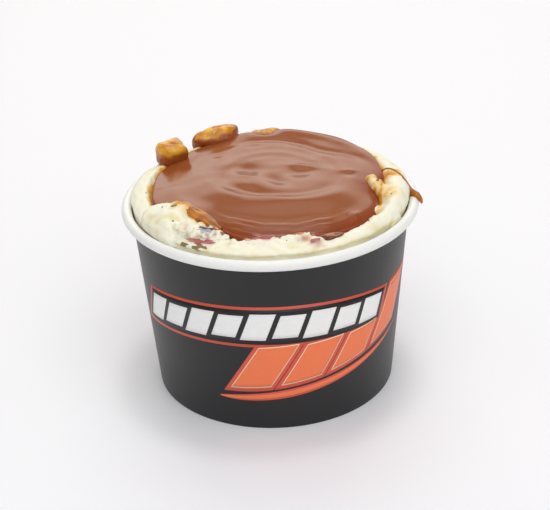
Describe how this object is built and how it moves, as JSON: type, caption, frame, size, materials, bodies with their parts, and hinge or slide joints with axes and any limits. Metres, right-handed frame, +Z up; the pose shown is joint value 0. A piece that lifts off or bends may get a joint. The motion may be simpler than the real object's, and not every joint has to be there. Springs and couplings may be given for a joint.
{
  "type": "mashed potato side in a paper cup",
  "caption": "Heaped mashed potato with a pool of brown gravy and glazed potato chunks, in a round black paper food cup with a white rolled rim.",
  "frame": {"origin": "centre of the cup's foot, on the surface it stands on", "axes": "+Z up out of the cup's mouth; the front, with the torn lump of mash at its left, faces -Y"},
  "size_m": [0.0916, 0.0916, 0.0707],
  "materials": {
    "cup_board": "satin black print outside, white coated board inside and at the rim",
    "base_board": "white coated board",
    "mash": "moist, soft and matt",
    "gravy": "thick and glossy",
    "glazed_potato": "cooked potato under a thin amber glaze"
  },
  "bodies": {
    "root": {"cup_wall": "cup_board", "cup_base": "base_board", "mash": "mash", "gravy": "gravy", "potato_chunk_left": "glazed_potato", "potato_chunk_middle": "glazed_potato", "potato_chunk_back": "glazed_potato"}
  },
  "joints": []
}
